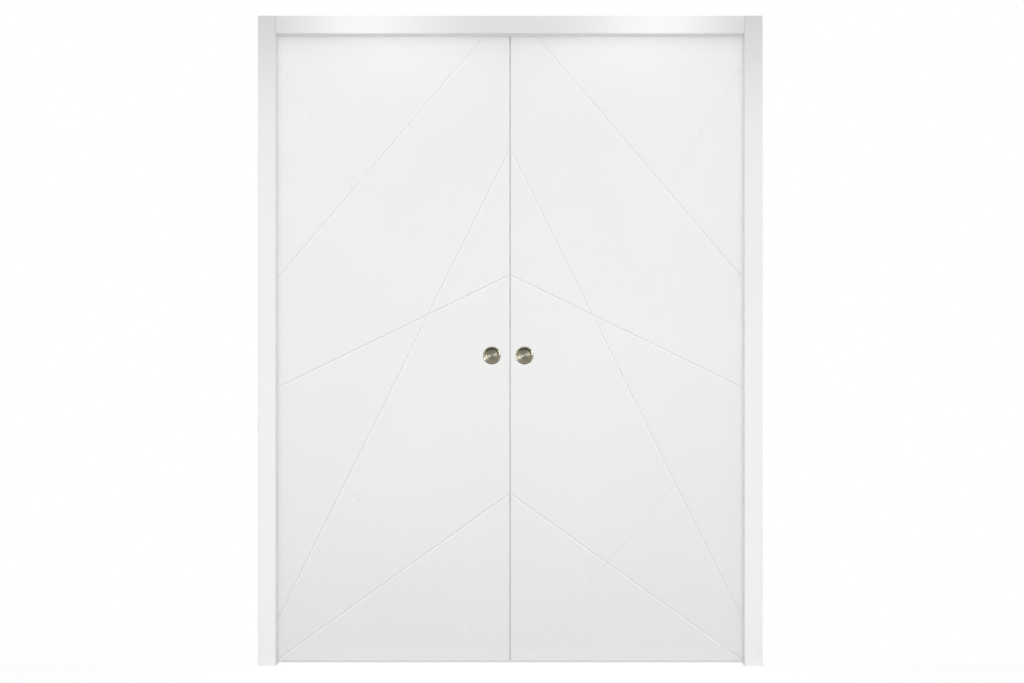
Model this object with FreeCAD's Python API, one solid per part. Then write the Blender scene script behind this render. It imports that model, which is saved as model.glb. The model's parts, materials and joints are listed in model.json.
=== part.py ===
"""Double pocket door: two hung leaves that part in the middle and slide into the wall on either side.

Millimetres, +Z up, +X to the right, -Y towards the viewer. The origin is on the floor, in the middle of
the opening and of the wall's thickness. Each leaf hangs from two four-wheel trolleys in a top track that
runs on into both pockets; the side jambs and the head jamb are split so that the leaves pass between them.
"""
import FreeCAD, Part

import math
import os

from FreeCAD import Vector

# Leaves
LEAF_WIDTH = 762.0
LEAF_HEIGHT = 2032.0
LEAF_THICKNESS = 40.0
SKIN_THICKNESS = 6.0
LEAF_EDGE_ROUND = 1.0
LEAD_STILE_MARGIN = 12.8
TRAIL_STILE_WIDTH = 40.0
TOP_RAIL_HEIGHT = 70.0
BOTTOM_RAIL_HEIGHT = 70.0
MEETING_GAP = 3.0
FLOOR_GAP = 5.0
LEAF_POCKET_COVER = 13.5
LEAF_HEAD_COVER = 13.0
BEAD_SIDE = "left"
BEAD_WIDTH = 24.0
BEAD_GAP = 0.5

# Routed V-grooves: places along the leaf's edges, from its meeting edge and its nearer end. The corner groove
# and the foot groove point at the far edge, but end where they meet the upper and the long groove.
GROOVE_WIDTH = 6.0
GROOVE_DEPTH = 1.7
UPPER_GROOVE_TOP_X = 73.0
UPPER_GROOVE_SIDE_DROP = 807.0
CORNER_GROOVE_SIDE_DROP = 76.0
CORNER_GROOVE_AIM_Z = 683.0
LONG_GROOVE_MEETING_DROP = 377.0
LONG_GROOVE_SIDE_Z = 109.0
MIDDLE_GROOVE_MEETING_Z = 1248.0
MIDDLE_GROOVE_SIDE_Z = 879.0
LOWER_GROOVE_MEETING_Z = 540.0
LOWER_GROOVE_CORNER_INSET = 8.0
FOOT_GROOVE_BOTTOM_X = 44.0
FOOT_GROOVE_AIM_Z = 833.0

# Flush pulls
PULL_DIAMETER = 58.0
PULL_HEIGHT = 994.0
LEFT_PULL_BACKSET = 58.0
RIGHT_PULL_BACKSET = 45.0
PULL_OPEN_CLEARANCE = 11.5
PULL_RIM_WIDTH = 6.5
PULL_RIM_PROUD = 2.0
PULL_RIM_CHAMFER = 1.5
PULL_EDGE_HEIGHT = 0.8
PULL_CUP_TAPER = 1.5
PULL_CUP_DEPTH = 9.0
PULL_WALL = 1.5
PULL_SEAT_CLEARANCE = 0.2
PULL_SEAT_BACK_GAP = 0.5

# Jambs and casings
WALL_THICKNESS = 116.0
JAMB_THICKNESS = 19.0
POCKET_CLEARANCE = 5.0
CASING_WIDTH = 58.0
CASING_THICKNESS = 16.0
CASING_EDGE_ROUND = 3.0
CASING_RELIEF_DEPTH = 2.0
CASING_RELIEF_LAND = 6.0

# Track, header and end brackets
TRACK_WALL = 2.5
TRACK_CORNER_ROUND = 1.5
TRACK_LIP_RISE = 1.2
TRACK_LIP_WIDTH = 1.0
TRACK_SIDE_GAP = 2.0
POCKET_END_ROOM = 11.5
HEADER_WIDTH = 90.0
HEADER_THICKNESS = 16.0
TRACK_SCREWS_PER_RAIL = 5
TRACK_SCREW_END_MARGIN = 25.0
TRACK_SCREW_RADIUS = 2.25
TRACK_SCREW_LENGTH = 14.0
TRACK_SCREW_HEAD_RADIUS = 4.5
TRACK_SCREW_HEAD_HEIGHT = 2.4
BRACKET_THICKNESS = 2.5
BRACKET_LEDGE_LENGTH = 40.0
BRACKET_DROP = 40.0
BRACKET_CORNER_ROUND = 3.0
BRACKET_HOLE_RADIUS = 2.75
BRACKET_HOLE_INSET = 13.0
BRACKET_HOLE_UP = 12.0

# Hangers: trolley, wheels, pendant bolt and plate
HANGER_STILE_GAP = 10.0
TROLLEY_END_MARGIN = 1.0
TROLLEY_WHEEL_REVEAL = 2.0
TROLLEY_BOLT_WALL = 1.45
TROLLEY_BOSS_RADIUS = 4.5
TROLLEY_BOSS_PLAY = 0.4
TROLLEY_SLOT_PLAY = 0.5
TROLLEY_EDGE_ROUND = 2.0
AXLE_SPACING = 40.0
AXLE_RADIUS = 2.5
AXLE_PLAY = 0.05
WHEEL_RADIUS = 11.0
WHEEL_WIDTH = 6.5
WHEEL_SIDE_GAP = 0.6
WHEEL_WALL_GAP = 1.4
WHEEL_TOP_GAP = 2.7
WHEEL_RUN_GAP = 0.3
WHEEL_EDGE_CHAMFER = 0.8
WHEEL_HUB_RADIUS = 4.5
WHEEL_RECESS_RADIUS = 8.5
WHEEL_RECESS_DEPTH = 1.2
AXLE_HEAD_RADIUS = 3.8
AXLE_HEAD_HEIGHT = 0.9
BOLT_RADIUS = 4.0
BOLT_PLAY = 0.05
BOLT_HEAD_ACROSS_FLATS = 13.0
BOLT_HEAD_HEIGHT = 5.5
BOLT_TOP_INSET = 1.0
LOCK_NUT_HEIGHT = 4.0
LOCK_NUT_TRACK_GAP = 2.0
PLATE_LENGTH = 70.0
PLATE_THICKNESS = 3.0
PLATE_CORNER_ROUND = 4.0
PLATE_SKIN_MARGIN = 1.0
PLATE_SEAT_PLAY = 0.2
PLATE_BOLT_PLAY = 0.3
PLATE_SCREW_RADIUS = 2.0
PLATE_SCREW_HEAD_RADIUS = 4.0
PLATE_SCREW_INSET = 9.0
PLATE_SCREW_LENGTH = 30.0
BOLT_POCKET_PLAY = 1.5
BOLT_POCKET_ROOM = 2.5
SCREW_PLAY = 0.05

# Track stops and their bumpers
STOP_LENGTH = 25.0
STOP_SIDE_PLAY = 0.5
STOP_LUG_PLAY = 0.5
STOP_LUG_DROP = 1.0
BUMPER_RADIUS = 7.0
BUMPER_THICKNESS = 4.0
BUMPER_GAP = 0.5

# Guide pads on the jambs' inner edges, at the foot of each pocket's mouth
GUIDE_EDGE_MARGIN = 2.5
GUIDE_HEIGHT = 60.0
GUIDE_ABOVE_FLOOR = 15.0
GUIDE_LEAF_PLAY = 1.0
GUIDE_END_ROUND = 2.0
GUIDE_SCREW_RADIUS = 1.75
GUIDE_SCREW_HEAD_RADIUS = 3.5
GUIDE_SCREW_LENGTH = 22.0

# Room by which a cutting tool runs past the face that it opens, and a groove's tool past the leaf's edges
CUT_ROOM = 5.0
GROOVE_RUN_OUT = 25.0

# Two places nearer to each other than this count as the same
SAME_PLACE = 1e-6

# Sizes, levels and half sizes that follow from the driving dimensions
SIDES = {"left": -1, "right": 1}
FACES = {"front": -1, "back": 1}
LEAF_BOTTOM = FLOOR_GAP
LEAF_TOP = FLOOR_GAP + LEAF_HEIGHT
LEAF_FACE = LEAF_THICKNESS / 2
CORE_FACE = LEAF_FACE - SKIN_THICKNESS
BEAD_PROUD = MEETING_GAP - BEAD_GAP
JAMB_FACE = MEETING_GAP / 2 + LEAF_WIDTH - LEAF_POCKET_COVER
JAMB_BACK = JAMB_FACE + JAMB_THICKNESS
OPENING_HEIGHT = LEAF_TOP - LEAF_HEAD_COVER
HEAD_JAMB_TOP = OPENING_HEIGHT + JAMB_THICKNESS
WALL_FACE = WALL_THICKNESS / 2
CASING_FACE = WALL_FACE + CASING_THICKNESS
POCKET_FACE = LEAF_FACE + POCKET_CLEARANCE
GUIDE_LENGTH = JAMB_THICKNESS - 2 * GUIDE_EDGE_MARGIN

PULL_BACKSETS = {"left": LEFT_PULL_BACKSET, "right": RIGHT_PULL_BACKSET}
PULL_RADIUS = PULL_DIAMETER / 2
PULL_CUP_RADIUS = PULL_RADIUS - PULL_RIM_WIDTH
PULL_SPIGOT_RADIUS = PULL_CUP_RADIUS + PULL_WALL
PULL_SPIGOT_DEPTH = PULL_CUP_DEPTH + PULL_WALL
PULL_SEAT_RADIUS = PULL_SPIGOT_RADIUS + PULL_SEAT_CLEARANCE
PULL_SEAT_DEPTH = PULL_SPIGOT_DEPTH + PULL_SEAT_BACK_GAP
FAR_BACKSET = max(PULL_BACKSETS.values())
LEAD_STILE_WIDTH = FAR_BACKSET + PULL_SEAT_RADIUS + LEAD_STILE_MARGIN
LEAF_TRAVEL = JAMB_FACE - MEETING_GAP / 2 - FAR_BACKSET - PULL_RADIUS - PULL_OPEN_CLEARANCE

TROLLEY_FACE = BOLT_RADIUS + BOLT_PLAY + TROLLEY_BOLT_WALL
SLOT_FACE = TROLLEY_FACE + TROLLEY_SLOT_PLAY
WHEEL_INNER_FACE = SLOT_FACE + TRACK_LIP_WIDTH + WHEEL_SIDE_GAP
WHEEL_OUTER_FACE = WHEEL_INNER_FACE + WHEEL_WIDTH
CHANNEL_FACE = WHEEL_OUTER_FACE + WHEEL_WALL_GAP
TRACK_FACE = CHANNEL_FACE + TRACK_WALL
TRACK_BOTTOM = LEAF_TOP + LOCK_NUT_HEIGHT + LOCK_NUT_TRACK_GAP
LIP_TOP = TRACK_BOTTOM + TRACK_WALL
AXLE_LEVEL = LIP_TOP + WHEEL_RUN_GAP + WHEEL_RADIUS
CHANNEL_TOP = AXLE_LEVEL + WHEEL_RADIUS + WHEEL_TOP_GAP
TRACK_TOP = CHANNEL_TOP + TRACK_WALL
BATTEN_FACE = TRACK_FACE + TRACK_SIDE_GAP
TRACK_REACH = MEETING_GAP / 2 + LEAF_WIDTH + LEAF_TRAVEL + POCKET_END_ROOM
TROLLEY_LENGTH = AXLE_SPACING + 2 * (WHEEL_RADIUS + TROLLEY_END_MARGIN)
TROLLEY_BOTTOM = AXLE_LEVEL - WHEEL_RADIUS + TROLLEY_WHEEL_REVEAL
TROLLEY_TOP = AXLE_LEVEL + WHEEL_RADIUS - TROLLEY_WHEEL_REVEAL
BOSS_FACE = WHEEL_INNER_FACE - TROLLEY_BOSS_PLAY
HANGER_INSET = LEAD_STILE_WIDTH + HANGER_STILE_GAP + PLATE_LENGTH / 2
HANGER_PLACES = {"lead": HANGER_INSET, "trail": LEAF_WIDTH - HANGER_INSET}
AXLE_PLACES = {"inner": -AXLE_SPACING / 2, "outer": AXLE_SPACING / 2}
PLATE_WIDTH = 2 * (CORE_FACE - PLATE_SKIN_MARGIN)
BOLT_HEAD_CORNER = BOLT_HEAD_ACROSS_FLATS / math.sqrt(3)
BOLT_POCKET_RADIUS = BOLT_HEAD_CORNER + BOLT_POCKET_PLAY
BOLT_POCKET_DEPTH = BOLT_HEAD_HEIGHT + BOLT_POCKET_ROOM


def block(x0, x1, y0, y1, z0, z1):
    """A box between two corners, given in any order."""
    low = Vector(min(x0, x1), min(y0, y1), min(z0, z1))
    return Part.makeBox(abs(x1 - x0), abs(y1 - y0), abs(z1 - z0), low)


def turned(outline, centre, direction):
    """A solid turned from an outline of (radius, distance along direction) about a line through centre."""
    along = Vector(direction)
    across = Vector(0, 0, 1) if along.x else Vector(1, 0, 0)
    points = [centre + across * radius + along * distance for radius, distance in outline]
    face = Part.Face(Part.makePolygon(points + points[:1]))
    return upright(face.revolve(centre, along, 360))


def upright(solid):
    """The same solid with its faces turned outwards."""
    if solid.Volume < 0:
        solid.reverse()
    return solid


def rod(x, y, z0, z1, radius):
    """A vertical cylinder."""
    return Part.makeCylinder(radius, z1 - z0, Vector(x, y, z0))


def hexagon(x, y, z0, z1, corner):
    """A vertical hexagonal prism, given the distance from its axis to a corner."""
    turns = [math.radians(60 * i) for i in range(7)]
    outline = [Vector(x + corner * math.cos(a), y + corner * math.sin(a), z0) for a in turns]
    return Part.Face(Part.makePolygon(outline)).extrude(Vector(0, 0, z1 - z0))


def rounded(solid, radius, chosen):
    """The solid with the edges that chosen(edge) picks rounded off."""
    return solid.makeFillet(radius, [edge for edge in solid.Edges if chosen(edge)])


def on_plane(edge, axis, level):
    """True if the whole edge lies at that level along x, y or z."""
    return all(abs(getattr(v.Point, axis) - level) < SAME_PLACE for v in edge.Vertexes)


def runs_along(edge, axis):
    """True for a straight edge parallel to x, y or z."""
    first, last = edge.Vertexes[0].Point, edge.Vertexes[-1].Point
    reach = abs(getattr(last - first, axis))
    return reach > SAME_PLACE and abs((last - first).Length - reach) < SAME_PLACE


def at_leaf(side, along):
    """World x of a place measured from a leaf's meeting edge towards its trailing edge."""
    return SIDES[side] * (MEETING_GAP / 2 + along)


def side_casing(side, face):
    """A flat upright trim board with its long front edges eased and its back hollowed."""
    s, f = SIDES[side], FACES[face]
    inner, outer = s * JAMB_FACE, s * (JAMB_FACE + CASING_WIDTH)
    board = block(inner, outer, f * WALL_FACE, f * CASING_FACE, 0, OPENING_HEIGHT + CASING_WIDTH)
    board = rounded(board, CASING_EDGE_ROUND,
                    lambda e: on_plane(e, "y", f * CASING_FACE) and runs_along(e, "z"))
    relief = block(s * (JAMB_BACK + CASING_RELIEF_LAND), outer - s * CASING_RELIEF_LAND,
                   f * (WALL_FACE - CUT_ROOM), f * (WALL_FACE + CASING_RELIEF_DEPTH),
                   -CUT_ROOM, OPENING_HEIGHT + CASING_WIDTH - CASING_RELIEF_LAND)
    return board.cut(relief)


def head_casing(face):
    """The trim board over the opening, butted between the two side casings."""
    f = FACES[face]
    board = block(-JAMB_FACE, JAMB_FACE, f * WALL_FACE, f * CASING_FACE,
                  OPENING_HEIGHT, OPENING_HEIGHT + CASING_WIDTH)
    board = rounded(board, CASING_EDGE_ROUND,
                    lambda e: on_plane(e, "y", f * CASING_FACE) and runs_along(e, "x"))
    relief = block(-JAMB_FACE - CUT_ROOM, JAMB_FACE + CUT_ROOM,
                   f * (WALL_FACE - CUT_ROOM), f * (WALL_FACE + CASING_RELIEF_DEPTH),
                   HEAD_JAMB_TOP + CASING_RELIEF_LAND, OPENING_HEIGHT + CASING_WIDTH - CASING_RELIEF_LAND)
    return board.cut(relief)


def side_jamb(side, face):
    """One half of a split side jamb, beside the mouth of the pocket and drilled for its guide pad."""
    s, f = SIDES[side], FACES[face]
    board = block(s * JAMB_FACE, s * JAMB_BACK, f * POCKET_FACE, f * WALL_FACE, 0, HEAD_JAMB_TOP)
    return board.cut(guide_screw(side, face, SCREW_PLAY))


def head_jamb(face):
    """One half of the split head jamb, between the side jambs and below the batten."""
    f = FACES[face]
    return block(-JAMB_FACE, JAMB_FACE, f * POCKET_FACE, f * WALL_FACE, OPENING_HEIGHT, HEAD_JAMB_TOP)


def head_batten(face):
    """A batten beside the track that rests on the side jambs and carries the header."""
    f = FACES[face]
    return block(-JAMB_BACK, JAMB_BACK, f * BATTEN_FACE, f * WALL_FACE, HEAD_JAMB_TOP, TRACK_TOP)


def track_screw_places(side):
    """World x of each screw that holds one rail up against the header."""
    first, last = TRACK_SCREW_END_MARGIN, TRACK_REACH - TRACK_SCREW_END_MARGIN
    step = (last - first) / (TRACK_SCREWS_PER_RAIL - 1)
    return [SIDES[side] * (first + step * i) for i in range(TRACK_SCREWS_PER_RAIL)]


def track_screw(x, play=0.0):
    """A pan-head screw from inside the channel up into the header, or the hole for it."""
    tip = CHANNEL_TOP + TRACK_SCREW_LENGTH + play
    shank = rod(x, 0, CHANNEL_TOP, tip, TRACK_SCREW_RADIUS + play)
    if play:
        return shank
    return shank.fuse(rod(x, 0, CHANNEL_TOP - TRACK_SCREW_HEAD_HEIGHT, CHANNEL_TOP, TRACK_SCREW_HEAD_RADIUS))


def track_rail(side):
    """An aluminium channel with a slot underneath, from the middle of the opening to the end of a pocket.

    The lips beside the slot turn up at their edges, which keeps the wheels on their runs.
    """
    lip_edge, rise = SLOT_FACE + TRACK_LIP_WIDTH, LIP_TOP + TRACK_LIP_RISE
    half = [(SLOT_FACE, TRACK_BOTTOM), (TRACK_FACE, TRACK_BOTTOM), (TRACK_FACE, TRACK_TOP)]
    inside = [(CHANNEL_FACE, CHANNEL_TOP), (CHANNEL_FACE, LIP_TOP), (lip_edge, LIP_TOP), (lip_edge, rise),
              (SLOT_FACE, rise)]
    outline = half + mirrored(half) + mirrored(inside) + inside
    points = [Vector(0, y, z) for y, z in outline]
    profile = Part.Face(Part.makePolygon(points + points[:1]))
    rail = upright(profile.extrude(Vector(SIDES[side] * TRACK_REACH, 0, 0)))
    rail = rounded(rail, TRACK_CORNER_ROUND, lambda e: runs_along(e, "x") and (
        on_plane(e, "y", -TRACK_FACE) or on_plane(e, "y", TRACK_FACE)))
    for x in track_screw_places(side):
        rail = rail.cut(track_screw(x, SCREW_PLAY))
    return rail


def mirrored(half):
    """The same points on the other side of the track, in the opposite order."""
    return [(-y, z) for y, z in reversed(half)]


def track_header():
    """The board that carries both rails, drilled for their screws."""
    board = block(-TRACK_REACH, TRACK_REACH, -HEADER_WIDTH / 2, HEADER_WIDTH / 2,
                  TRACK_TOP, TRACK_TOP + HEADER_THICKNESS)
    for side in SIDES:
        for x in track_screw_places(side):
            board = board.cut(track_screw(x, SCREW_PLAY))
    return board


def track_screws():
    """All the screws that hold the rails."""
    return Part.makeCompound([track_screw(x) for side in SIDES for x in track_screw_places(side)])


def header_bracket(side):
    """A steel end plate with two ledges under the header and two fixing holes for the pocket's end stud."""
    s = SIDES[side]
    plate = block(s * TRACK_REACH, s * (TRACK_REACH + BRACKET_THICKNESS), -HEADER_WIDTH / 2, HEADER_WIDTH / 2,
                  TRACK_TOP - BRACKET_DROP, TRACK_TOP + HEADER_THICKNESS)
    plate = rounded(plate, BRACKET_CORNER_ROUND,
                    lambda e: runs_along(e, "x") and on_plane(e, "z", TRACK_TOP - BRACKET_DROP))
    for f in FACES.values():
        ledge = block(s * (TRACK_REACH - BRACKET_LEDGE_LENGTH), s * TRACK_REACH,
                      f * BATTEN_FACE, f * HEADER_WIDTH / 2, TRACK_TOP - BRACKET_THICKNESS, TRACK_TOP)
        plate = plate.fuse(ledge)
    for f in FACES.values():
        start = Vector(s * (TRACK_REACH - CUT_ROOM), f * (HEADER_WIDTH / 2 - BRACKET_HOLE_INSET),
                       TRACK_TOP - BRACKET_DROP + BRACKET_HOLE_UP)
        plate = plate.cut(Part.makeCylinder(BRACKET_HOLE_RADIUS, 2 * CUT_ROOM + BRACKET_THICKNESS, start,
                                            Vector(s, 0, 0)))
    return plate.removeSplitter()


def stop_places(side):
    """World x of each bumper face on one rail, with the way that the face looks."""
    s = SIDES[side]
    lead_end = HANGER_PLACES["lead"] - TROLLEY_LENGTH / 2 - BUMPER_GAP
    trail_end = HANGER_PLACES["trail"] + TROLLEY_LENGTH / 2 + LEAF_TRAVEL + BUMPER_GAP
    return [(at_leaf(side, lead_end), s), (at_leaf(side, trail_end), -s)]


def track_stops():
    """Four blocks clamped in the channel, where the trolleys end their run."""
    stops = []
    for side in SIDES:
        for face_x, looks in stop_places(side):
            near = face_x - looks * BUMPER_THICKNESS
            far = near - looks * STOP_LENGTH
            wide = CHANNEL_FACE - STOP_SIDE_PLAY
            rise = LIP_TOP + TRACK_LIP_RISE
            body = block(near, far, -wide, wide, rise, TROLLEY_TOP)
            narrow = SLOT_FACE - STOP_LUG_PLAY
            lug = block(near, far, -narrow, narrow, TRACK_BOTTOM - STOP_LUG_DROP, rise)
            stops.append(body.fuse(lug).removeSplitter())
    return Part.makeCompound(stops)


def stop_bumpers():
    """A rubber button on each stop."""
    outline = [(0, 0), (BUMPER_RADIUS, 0), (BUMPER_RADIUS, BUMPER_THICKNESS / 2),
               (BUMPER_RADIUS - BUMPER_THICKNESS / 2, BUMPER_THICKNESS), (0, BUMPER_THICKNESS)]
    return Part.makeCompound([
        turned(outline, Vector(face_x - looks * BUMPER_THICKNESS, 0, AXLE_LEVEL), (looks, 0, 0))
        for side in SIDES for face_x, looks in stop_places(side)])


def guide_pad(side, face):
    """A nylon pad on a jamb half that keeps the leaf from swinging in the mouth of the pocket."""
    s, f = SIDES[side], FACES[face]
    middle = s * (JAMB_FACE + JAMB_THICKNESS / 2)
    leaf_side = LEAF_FACE + GUIDE_LEAF_PLAY
    pad = block(middle - GUIDE_LENGTH / 2, middle + GUIDE_LENGTH / 2, f * leaf_side, f * POCKET_FACE,
                GUIDE_ABOVE_FLOOR, GUIDE_ABOVE_FLOOR + GUIDE_HEIGHT)
    pad = rounded(pad, GUIDE_END_ROUND, lambda e: on_plane(e, "y", f * leaf_side) and runs_along(e, "z"))
    return pad.cut(guide_screw(side, face, SCREW_PLAY))


def guide_screw(side, face, play=0.0):
    """The countersunk screw of a guide pad, or the hole for it."""
    s, f = SIDES[side], FACES[face]
    head = Vector(s * (JAMB_FACE + JAMB_THICKNESS / 2), f * (LEAF_FACE + GUIDE_LEAF_PLAY),
                  GUIDE_ABOVE_FLOOR + GUIDE_HEIGHT / 2)
    return countersunk_screw(head, (0, f, 0), GUIDE_SCREW_RADIUS, GUIDE_SCREW_HEAD_RADIUS,
                             GUIDE_SCREW_LENGTH, play)


def countersunk_screw(head, direction, radius, head_radius, length, play):
    """A wood screw with its flat head at head, pointing along direction, made larger by play for its hole."""
    neck = head_radius - radius
    outline = [(0, 0), (head_radius + play, 0), (radius + play, neck), (radius + play, length - radius),
               (0, length + play)]
    return turned(outline, head, direction)


def guide_pieces(piece):
    """A pad or a screw in all four places."""
    return Part.makeCompound([piece(side, face) for side in SIDES for face in FACES])


def groove_lines():
    """The ends of each routed groove, as (from the meeting edge, from the bottom edge) pairs on a leaf."""
    upper = ((UPPER_GROOVE_TOP_X, LEAF_HEIGHT), (LEAF_WIDTH, LEAF_HEIGHT - UPPER_GROOVE_SIDE_DROP))
    long = ((0, LEAF_HEIGHT - LONG_GROOVE_MEETING_DROP), (LEAF_WIDTH, LONG_GROOVE_SIDE_Z))
    middle = ((0, MIDDLE_GROOVE_MEETING_Z), (LEAF_WIDTH, MIDDLE_GROOVE_SIDE_Z))
    lower = ((0, LOWER_GROOVE_MEETING_Z), (LEAF_WIDTH - LOWER_GROOVE_CORNER_INSET, 0))
    corner = cut_short((LEAF_WIDTH, LEAF_HEIGHT - CORNER_GROOVE_SIDE_DROP), (0, CORNER_GROOVE_AIM_Z), upper)
    foot = cut_short((FOOT_GROOVE_BOTTOM_X, 0), (LEAF_WIDTH, FOOT_GROOVE_AIM_Z), long)
    return [upper, corner, long, middle, lower, foot]


def cut_short(start, aim, other):
    """The line from start towards aim that ends where it meets another line."""
    (x0, z0), (x1, z1) = other
    run_x, run_z = aim[0] - start[0], aim[1] - start[1]
    other_x, other_z = x1 - x0, z1 - z0
    share = ((x0 - start[0]) * other_z - (z0 - start[1]) * other_x) / (run_x * other_z - run_z * other_x)
    return start, (start[0] + share * run_x, start[1] + share * run_z)


def run_out(x, z):
    """How far a groove's tool runs on past one end: clear of the leaf at its edges, not at all inside it."""
    return GROOVE_RUN_OUT if x in (0, LEAF_WIDTH) or z in (0, LEAF_HEIGHT) else 0.0


def groove_cutter(side, face, line):
    """The V-shaped tool path of one groove, run out past the leaf where it ends at the leaf's edge."""
    f = FACES[face]
    ends = [Vector(at_leaf(side, x), f * LEAF_FACE, LEAF_BOTTOM + z) for x, z in line]
    along = (ends[1] - ends[0]).normalize()
    start = ends[0] - along * run_out(*line[0])
    stop = ends[1] + along * run_out(*line[1])
    out = Vector(0, f, 0)
    across = along.cross(out).normalize() * (GROOVE_WIDTH / 2) * (1 + CUT_ROOM / GROOVE_DEPTH)
    points = [start + across + out * CUT_ROOM, start - across + out * CUT_ROOM, start - out * GROOVE_DEPTH]
    return upright(Part.Face(Part.makePolygon(points + points[:1])).extrude(stop - start))


def pull_centre(side, face):
    """The middle of a pull on the leaf's face."""
    return Vector(at_leaf(side, PULL_BACKSETS[side]), FACES[face] * LEAF_FACE, PULL_HEIGHT)


def pull_seat(side, face):
    """The round hole that a pull is pressed into."""
    inwards = Vector(0, -FACES[face], 0)
    start = pull_centre(side, face) - inwards * CUT_ROOM
    return Part.makeCylinder(PULL_SEAT_RADIUS, CUT_ROOM + PULL_SEAT_DEPTH, start, inwards)


def flush_pull(side, face):
    """A spun metal cup with a chamfered rim that sits proud of the leaf."""
    outline = [(0, -PULL_CUP_DEPTH),
               (PULL_CUP_RADIUS - PULL_CUP_TAPER, -PULL_CUP_DEPTH),
               (PULL_CUP_RADIUS, PULL_EDGE_HEIGHT),
               (PULL_CUP_RADIUS + PULL_RIM_CHAMFER, PULL_RIM_PROUD),
               (PULL_RADIUS - PULL_RIM_CHAMFER, PULL_RIM_PROUD),
               (PULL_RADIUS, PULL_EDGE_HEIGHT),
               (PULL_RADIUS, 0),
               (PULL_SPIGOT_RADIUS, 0),
               (PULL_SPIGOT_RADIUS, -PULL_SPIGOT_DEPTH),
               (0, -PULL_SPIGOT_DEPTH)]
    return turned(outline, pull_centre(side, face), (0, FACES[face], 0))


def leaf_skin(side, face):
    """A facing board with eased edges, the routed grooves and the hole for the pull."""
    f = FACES[face]
    skin = block(at_leaf(side, 0), at_leaf(side, LEAF_WIDTH), f * CORE_FACE, f * LEAF_FACE,
                 LEAF_BOTTOM, LEAF_TOP)
    skin = rounded(skin, LEAF_EDGE_ROUND, lambda e: on_plane(e, "y", f * LEAF_FACE))
    for line in groove_lines():
        skin = skin.cut(groove_cutter(side, face, line))
    return skin.cut(pull_seat(side, face))


def core_block(side, along0, along1, up0, up1):
    """A piece of the leaf's inner frame, between the two skins."""
    return block(at_leaf(side, along0), at_leaf(side, along1), -CORE_FACE, CORE_FACE,
                 LEAF_BOTTOM + up0, LEAF_BOTTOM + up1)


def lead_stile(side):
    """The wide upright at the meeting edge, bored for both pulls.

    One of the two has a bead that all but fills the gap between the leaves, so that no light shows through.
    """
    stile = core_block(side, 0, LEAD_STILE_WIDTH, 0, LEAF_HEIGHT)
    if side == BEAD_SIDE:
        bead = block(at_leaf(side, -BEAD_PROUD), at_leaf(side, 0), -BEAD_WIDTH / 2, BEAD_WIDTH / 2,
                     LEAF_BOTTOM, LEAF_TOP)
        stile = stile.fuse(bead)
    for face in FACES:
        stile = stile.cut(pull_seat(side, face))
    return stile


def trail_stile(side):
    """The upright at the edge that stays in the pocket."""
    return core_block(side, LEAF_WIDTH - TRAIL_STILE_WIDTH, LEAF_WIDTH, 0, LEAF_HEIGHT)


def top_rail(side):
    """The rail that the hanger plates are let into."""
    rail = core_block(side, LEAD_STILE_WIDTH, LEAF_WIDTH - TRAIL_STILE_WIDTH,
                      LEAF_HEIGHT - TOP_RAIL_HEIGHT, LEAF_HEIGHT)
    for place in HANGER_PLACES.values():
        x = at_leaf(side, place)
        half_length, half_width = PLATE_LENGTH / 2 + PLATE_SEAT_PLAY, PLATE_WIDTH / 2 + PLATE_SEAT_PLAY
        seat = block(x - half_length, x + half_length, -half_width, half_width,
                     LEAF_TOP - PLATE_THICKNESS, LEAF_TOP + CUT_ROOM)
        pocket = rod(x, 0, LEAF_TOP - PLATE_THICKNESS - BOLT_POCKET_DEPTH, LEAF_TOP, BOLT_POCKET_RADIUS)
        rail = rail.cut(seat).cut(pocket)
        for screw_x in plate_screw_places(x):
            rail = rail.cut(plate_screw(screw_x, SCREW_PLAY))
    return rail


def bottom_rail(side):
    """The rail at the foot of the leaf."""
    return core_block(side, LEAD_STILE_WIDTH, LEAF_WIDTH - TRAIL_STILE_WIDTH, 0, BOTTOM_RAIL_HEIGHT)


def leaf_core(side):
    """The board that fills the leaf between its stiles and rails."""
    return core_block(side, LEAD_STILE_WIDTH, LEAF_WIDTH - TRAIL_STILE_WIDTH,
                      BOTTOM_RAIL_HEIGHT, LEAF_HEIGHT - TOP_RAIL_HEIGHT)


def plate_screw_places(x):
    """World x of the two screws in a hanger plate."""
    offset = PLATE_LENGTH / 2 - PLATE_SCREW_INSET
    return [x - offset, x + offset]


def plate_screw(x, play=0.0):
    """A countersunk wood screw, flush with a hanger plate, or the hole for it."""
    return countersunk_screw(Vector(x, 0, LEAF_TOP), (0, 0, -1), PLATE_SCREW_RADIUS, PLATE_SCREW_HEAD_RADIUS,
                             PLATE_SCREW_LENGTH, play)


def hanger_plates(side):
    """The two steel plates let into the top of a leaf."""
    plates = []
    for place in HANGER_PLACES.values():
        x = at_leaf(side, place)
        plate = block(x - PLATE_LENGTH / 2, x + PLATE_LENGTH / 2, -PLATE_WIDTH / 2, PLATE_WIDTH / 2,
                      LEAF_TOP - PLATE_THICKNESS, LEAF_TOP)
        plate = rounded(plate, PLATE_CORNER_ROUND, lambda e: runs_along(e, "z"))
        plate = plate.cut(rod(x, 0, LEAF_TOP - PLATE_THICKNESS - CUT_ROOM, LEAF_TOP + CUT_ROOM,
                              BOLT_RADIUS + PLATE_BOLT_PLAY))
        for screw_x in plate_screw_places(x):
            plate = plate.cut(plate_screw(screw_x, SCREW_PLAY))
        plates.append(plate)
    return Part.makeCompound(plates)


def hanger_screws(side):
    """The wood screws of both hanger plates of a leaf."""
    return Part.makeCompound([plate_screw(screw_x) for place in HANGER_PLACES.values()
                              for screw_x in plate_screw_places(at_leaf(side, place))])


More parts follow.
